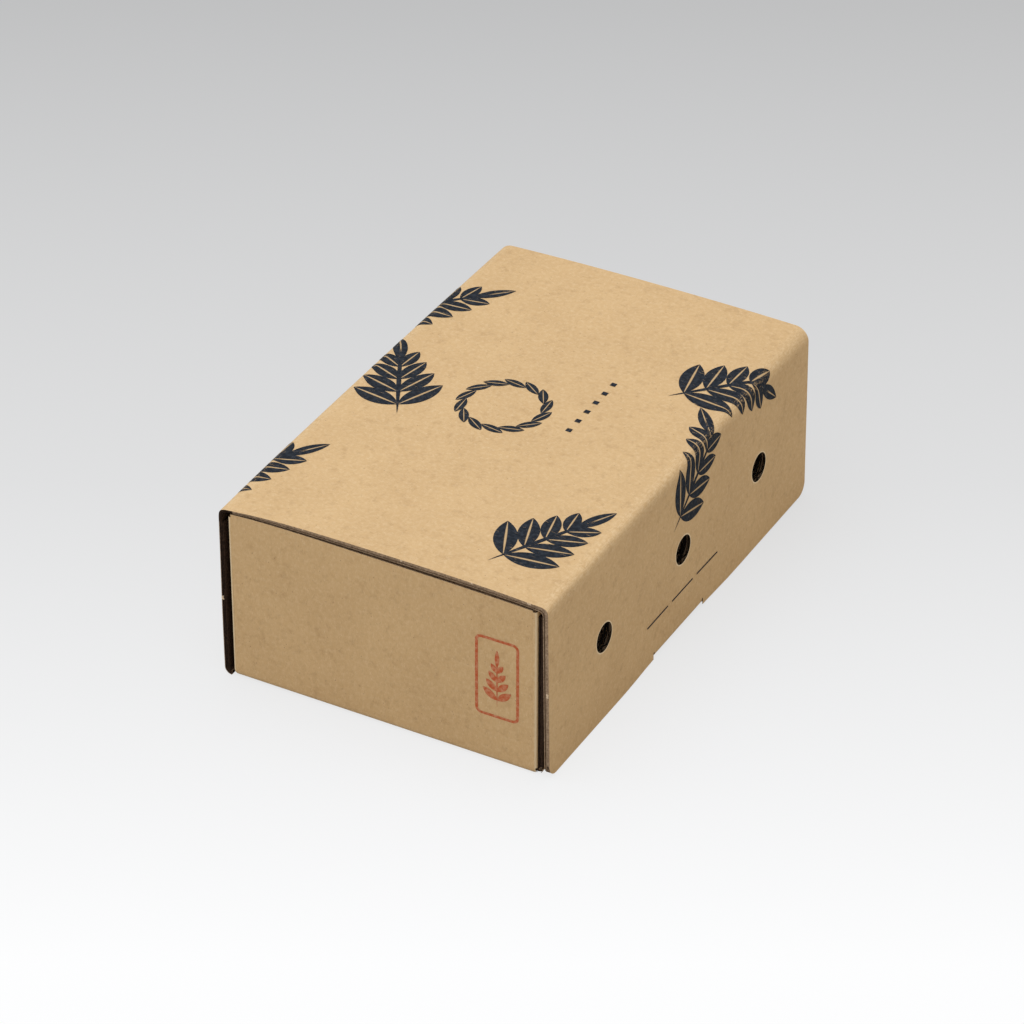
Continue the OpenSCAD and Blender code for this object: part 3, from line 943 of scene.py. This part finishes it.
# Print, drawn flat: X runs over the lid and on down both sides, as the source has it
class Ink:
    """Collects flat shapes, each a grid of points, and lays them on the carton."""

    def __init__(self, name):
        self.name = name
        self.bm = bmesh.new()
        self.vein = self.bm.verts.layers.float.new("vein")
        self.lift = INK_LIFT

    def strip(self, rows, veins=None):
        """Quads between neighbouring rows of points."""
        made = []
        for j, row in enumerate(rows):
            made.append([self.bm.verts.new((x, y, -self.lift)) for x, y in row])
            if veins:
                for v in made[-1]:
                    v[self.vein] = veins[j]
        for a, b in zip(made, made[1:]):
            for i in range(len(a) - 1):
                self.bm.faces.new((a[i], a[i + 1], b[i + 1], b[i]))
        self.lift += 0.002 * MM

    def leaf(self, length, width, matrix, vein=True, steps=22):
        """Pointed leaf, a strip across its length with a bare midrib."""
        radius = (length * length + width * width) / (4 * width)
        shares = (-1, -0.7, -0.4, -0.13, -0.05, 0.05, 0.13, 0.4, 0.7, 1)
        rows = []
        for share in shares:
            row = []
            for i in range(steps + 1):
                x = length * (0.004 + 0.992 * i / steps)
                y = (math.sqrt(radius ** 2 - (x - length / 2) ** 2) - radius + width / 2) * share
                p = matrix @ Vector((x, y, 0))
                row.append((p.x, p.y))
            rows.append(row)
        marks = [0, 0, 0, 0, 1, 1, 0, 0, 0, 0] if vein else None
        self.strip(rows, marks)

    def sprig(self, x, y, angle, length, size, vein=True):
        """Stem with pairs of leaves that grow smaller towards its tip."""
        base = Matrix.Translation((x, y, 0)) @ Matrix.Rotation(math.radians(angle), 4, "Z")
        for i in range(LEAF_PAIRS):
            for side in (-1, 1):
                at = Matrix.Translation((length * (0.12 + 0.16 * i), 0, 0))
                turn = Matrix.Rotation(math.radians(side * (52 - 6 * i)), 4, "Z")
                long, wide = LEAF_L * size * (1 - 0.13 * i), LEAF_W * size * (1 - 0.1 * i)
                self.leaf(long, wide, base @ at @ turn, vein)
        tip = base @ Matrix.Translation((length * 0.68, 0, 0))
        self.leaf(length * 0.32, LEAF_W * size * 0.6, tip, vein)
        self.leaf(length * 0.85, STEM_W * size, base, vein=False)

    def bar(self, x, y, width, height):
        ends = (y - height / 2, y + height / 2)
        self.strip([[(x - width / 2, v), (x + width / 2, v)] for v in ends])

    def split(self, at, along, drop=False):
        """Cuts every shape at a plane; drop leaves out what lies beyond it."""
        geometry = self.bm.verts[:] + self.bm.edges[:] + self.bm.faces[:]
        bmesh.ops.bisect_plane(self.bm, geom=geometry, plane_co=at, plane_no=along, clear_outer=drop)

    def finish(self, place, marks=(), rows=()):
        """Gives the shapes an edge at each X in marks and each Y in rows, and lays them on the carton."""
        for x in marks:
            self.split((x, 0, 0), (1, 0, 0))
        for y in rows:
            self.split((0, y, 0), (0, 1, 0))
        for side in (-1, 1):
            self.split((0, side * (HALF_L - 0.2 * MM), 0), (0, side, 0), drop=True)
        obj = new_object(self.name, self.bm)
        mesh = obj.data
        flat, rub_and_highlight = [], []
        for v in mesh.vertices:
            s, y, n = v.co
            flat += [s / MM + 200, y / MM, 0]
            away = abs(abs(s) - TURN_X) / (CREASE_R * 0.75)
            rub_and_highlight.append(max(0, 1 - away ** 2))
            v.co = place(s, y, -n)
        keep_values(mesh, flat, rub_and_highlight)
        mesh.update()
        return obj


def ink_place(s, y, lift):
    """Point of the carton's outer face for a place in the flat print."""
    side = 1 if s > 0 else -1
    a = abs(s)
    if a <= TURN_X:
        x = a
        z = TOP if a <= CREASE_X else CREASE_Z + math.sqrt(max(CREASE_R ** 2 - (a - CREASE_X) ** 2, 0))
    else:
        z = TURN_Z - (a - TURN_X)
        x = HALF_W if z <= CREASE_Z else CREASE_X + math.sqrt(max(CREASE_R ** 2 - (z - CREASE_Z) ** 2, 0))
    out = Vector((max(x - CREASE_X, 0), 0, max(z - CREASE_Z, 0)))
    if out.length < 1e-9:
        out = Vector((1, 0, 0)) if z <= CREASE_Z else Vector((0, 0, 1))
    if a <= CREASE_X:
        out = Vector((0, 0, 1))
    out.normalize()
    x, y, z = over_arch(side * x, y, z)
    return (x + side * out.x * lift, y, z + out.z * lift)


def lid_marks(side):
    """Places in the flat print where it needs an edge so as to follow the lid's crown."""
    return [side * CREASE_X * i / 8 for i in range(9)]


def crease_marks(side):
    """The same for a crease, the lid and the wall below the crease."""
    spread = 2 * CREASE_R * (1 - (1 - math.cos(math.pi / 4)))
    crease = [side * (CREASE_X + spread * i / 16) for i in range(17)]
    wall = [side * (TURN_X + CREASE_R * 0.75 + 6 * MM * i) for i in range(1, 10)]
    return crease + lid_marks(side) + wall


def make_inks():
    """Dark print of the lid's right part with the flap, and of its left part with the left wall."""
    right, left = Ink("right_ink"), Ink("left_ink")
    for x, y, angle, size in SPRIGS:
        (right if x > 0 else left).sprig(HALF_W * x, HALF_L * y, angle, SPRIG_L, size)
    for i in (-1, 0, 1):
        right.bar(TURN_X + TURN_Z - VENT_Z / 2, i * RULE_PITCH, RULE_W, RULE_L)
    tilt = Matrix.Translation((WREATH_R, 0, 0)) @ Matrix.Rotation(math.radians(68), 4, "Z")
    middle = Matrix.Translation((-WREATH_LEAF_L / 2, 0, 0))
    for i in range(WREATH_LEAVES):
        turn = Matrix.Rotation(2 * math.pi * i / WREATH_LEAVES, 4, "Z")
        place = Matrix.Translation((-WREATH_R / 2, 0, 0)) @ turn
        left.leaf(WREATH_LEAF_L, WREATH_LEAF_W, place @ tilt @ middle)
    for i in range(MARKS):
        left.bar(WREATH_R + MARK_GAP, i * MARK_PITCH + FIRST_MARK_Y, MARK_W, MARK_W)
    return (right.finish(ink_place, crease_marks(1)), left.finish(ink_place, crease_marks(-1) + lid_marks(1)))


def make_stamp():
    """Red rounded frame with a sprig in it, on the front end wall."""
    stamp = Ink("front_stamp")
    outer, inner = [], []
    for quadrant in range(4):
        cx = (STAMP_W / 2 - STAMP_CORNER) * (1 if quadrant in (0, 3) else -1)
        cy = (STAMP_H / 2 - STAMP_CORNER) * (1 if quadrant in (0, 1) else -1)
        for i in range(9):
            angle = QUARTER * (quadrant + i / 8)
            for row, radius in ((outer, STAMP_CORNER), (inner, STAMP_CORNER - STAMP_LINE)):
                row.append((cx + radius * math.cos(angle), cy + radius * math.sin(angle)))
    outer.append(outer[0])
    inner.append(inner[0])
    stamp.strip([outer, inner])
    stamp.sprig(0, -STAMP_H * 0.36, 90, STAMP_H * 0.72, 0.34, vein=False)

    def place(s, y, lift):
        x = STAMP_X + s
        z = TOP / 2 + y
        return (x, front_face(x, z) - lift, z)

    step = 3 * MM
    return stamp.finish(place, [k * step for k in range(-4, 5)], [k * step for k in range(-7, 8)])


def front_face(x, z):
    """Y of the front end wall's outer face."""
    y = x - PANEL_MIDDLE
    return -HALF_L - bulge(y / PANEL_HALF, y, z)


def camera():
    """Camera where the photograph was taken from, found from the carton's edges."""
    data = bpy.data.cameras.new("camera")
    data.lens = LENS
    data.sensor_width = 36
    data.clip_end = 20
    obj = bpy.data.objects.new("camera", data)
    bpy.context.scene.collection.objects.link(obj)
    level = math.cos(ELEVATION)
    away = Vector((math.sin(AZIMUTH) * level, -math.cos(AZIMUTH) * level, math.sin(ELEVATION)))
    obj.location = AIM + away * DISTANCE
    turn = (-away).to_track_quat("-Z", "Y").to_matrix() @ Matrix.Rotation(ROLL, 3, "Z")
    obj.rotation_euler = turn.to_euler()
    bpy.context.scene.camera = obj
    return obj


def floor_finish():
    """Floor that is lit a little by the lamps and otherwise shows a grey that fades towards the back."""
    material, nodes, links, bsdf = shader("floor")
    w = Weave(nodes, links)
    place = nodes.new("ShaderNodeNewGeometry")
    split = nodes.new("ShaderNodeSeparateXYZ")
    links.new(place.outputs["Position"], split.inputs["Vector"])
    away = w.math("ADD", w.math("MULTIPLY", split.outputs["X"], -math.sin(AZIMUTH)),
                  w.math("MULTIPLY", split.outputs["Y"], math.cos(AZIMUTH)))
    near, turn, far = (NEAR_AT, FLOOR_NEAR), (MIDDLE_AT, FLOOR_MIDDLE), (FAR_AT, FLOOR_FAR)
    parts = []
    for low, high in ((near, turn), (turn, far)):
        node = nodes.new("ShaderNodeMapRange")
        links.new(away, node.inputs["Value"])
        node.inputs["From Min"].default_value = low[0]
        node.inputs["From Max"].default_value = high[0]
        node.inputs["To Min"].default_value = low[1]
        node.inputs["To Max"].default_value = high[1]
        parts.append(node.outputs["Result"])
    grey = w.math("SUBTRACT", w.math("ADD", *parts), FLOOR_MIDDLE)
    glow = nodes.new("ShaderNodeEmission")
    links.new(grey, glow.inputs["Color"])
    bsdf.inputs["Base Color"].default_value = (FLOOR_BOUNCE, FLOOR_BOUNCE, FLOOR_BOUNCE, 1)
    bsdf.inputs["Roughness"].default_value = 0.9
    bsdf.inputs["Specular IOR Level"].default_value = 0.0
    seen = nodes.new("ShaderNodeLightPath")
    share = w.math("MULTIPLY", seen.outputs["Is Camera Ray"], FLOOR_GLOW)
    mixed = nodes.new("ShaderNodeMixShader")
    links.new(share, mixed.inputs["Fac"])
    links.new(bsdf.outputs["BSDF"], mixed.inputs[1])
    links.new(glow.outputs["Emission"], mixed.inputs[2])
    links.new(mixed.outputs["Shader"], nodes["Material Output"].inputs["Surface"])
    return material


def studio():
    world = bpy.data.worlds.new("studio")
    world.use_nodes = True
    nodes = world.node_tree.nodes
    nodes["Background"].inputs["Color"].default_value = SKY_TINT
    nodes["Background"].inputs["Strength"].default_value = SKY
    bpy.context.scene.world = world
    for name, where, size, power, tint in LAMPS:
        lamp = bpy.data.lights.new(name, "AREA")
        lamp.size = size
        lamp.energy = power
        lamp.color = tint
        obj = bpy.data.objects.new(name, lamp)
        obj.location = where
        obj.rotation_euler = (-Vector(where)).to_track_quat("-Z", "Y").to_euler()
        bpy.context.scene.collection.objects.link(obj)
    bm = bmesh.new()
    bmesh.ops.create_grid(bm, x_segments=1, y_segments=1, size=6)
    floor = new_object("floor", bm)
    floor.data.materials.append(floor_finish())


def main():
    camera()
    studio()
    BOARD_FINISH.extend((paper("kraft_outside", KRAFT), paper("kraft_inside", KRAFT_INSIDE)))
    BOARD_FINISH.extend((cut_edge("cut_edge", CUT_DARK, CUT_BROWN), torn()))
    # Near-black cut-edge finish, painted shade for the gaps beside the ears
    BOARD_FINISH.append(cut_edge("painted_shade_edge", PAINTED_SHADE_DARK, PAINTED_SHADE_BROWN))
    lid, flap, under = make_lid(), make_flap(), make_under()
    ends = [make_end(-1), make_end(1)]
    boards = ((lid, "lid_board"), (flap, "flap_board"), (under, "tray_board"),
              (ends[0], "front_wall"), (ends[1], "back_wall"))
    for obj, name in boards:
        obj.name = name
        fix_normals(obj)
        smooth_folds(obj)
    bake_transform(lid)
    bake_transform(flap)
    for obj in (under, *ends):
        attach(obj, "tray")
    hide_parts("lid")
    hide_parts("closure_flap")
    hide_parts("tray")
    for obj in ends:
        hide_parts("tray")
    dark = ink("dark_ink", SLATE, SLATE_PALE, 0.85)
    red = ink("red_ink", RED, KRAFT_PALE, 0.9)
    right, left = make_inks()
    stamp = make_stamp()
    for obj, material, slot in ((right, dark, "dark_ink"), (left, dark, "dark_ink"), (stamp, red, "red_ink")):
        obj.data.materials.append(material)
    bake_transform(right)
    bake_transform(left)
    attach(stamp, "tray")
    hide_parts("flap_print", "lid_print")
    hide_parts("lid_print", "wall_print")
    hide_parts("front_stamp")
    bpy.context.scene.view_settings.view_transform = "Standard"


main()
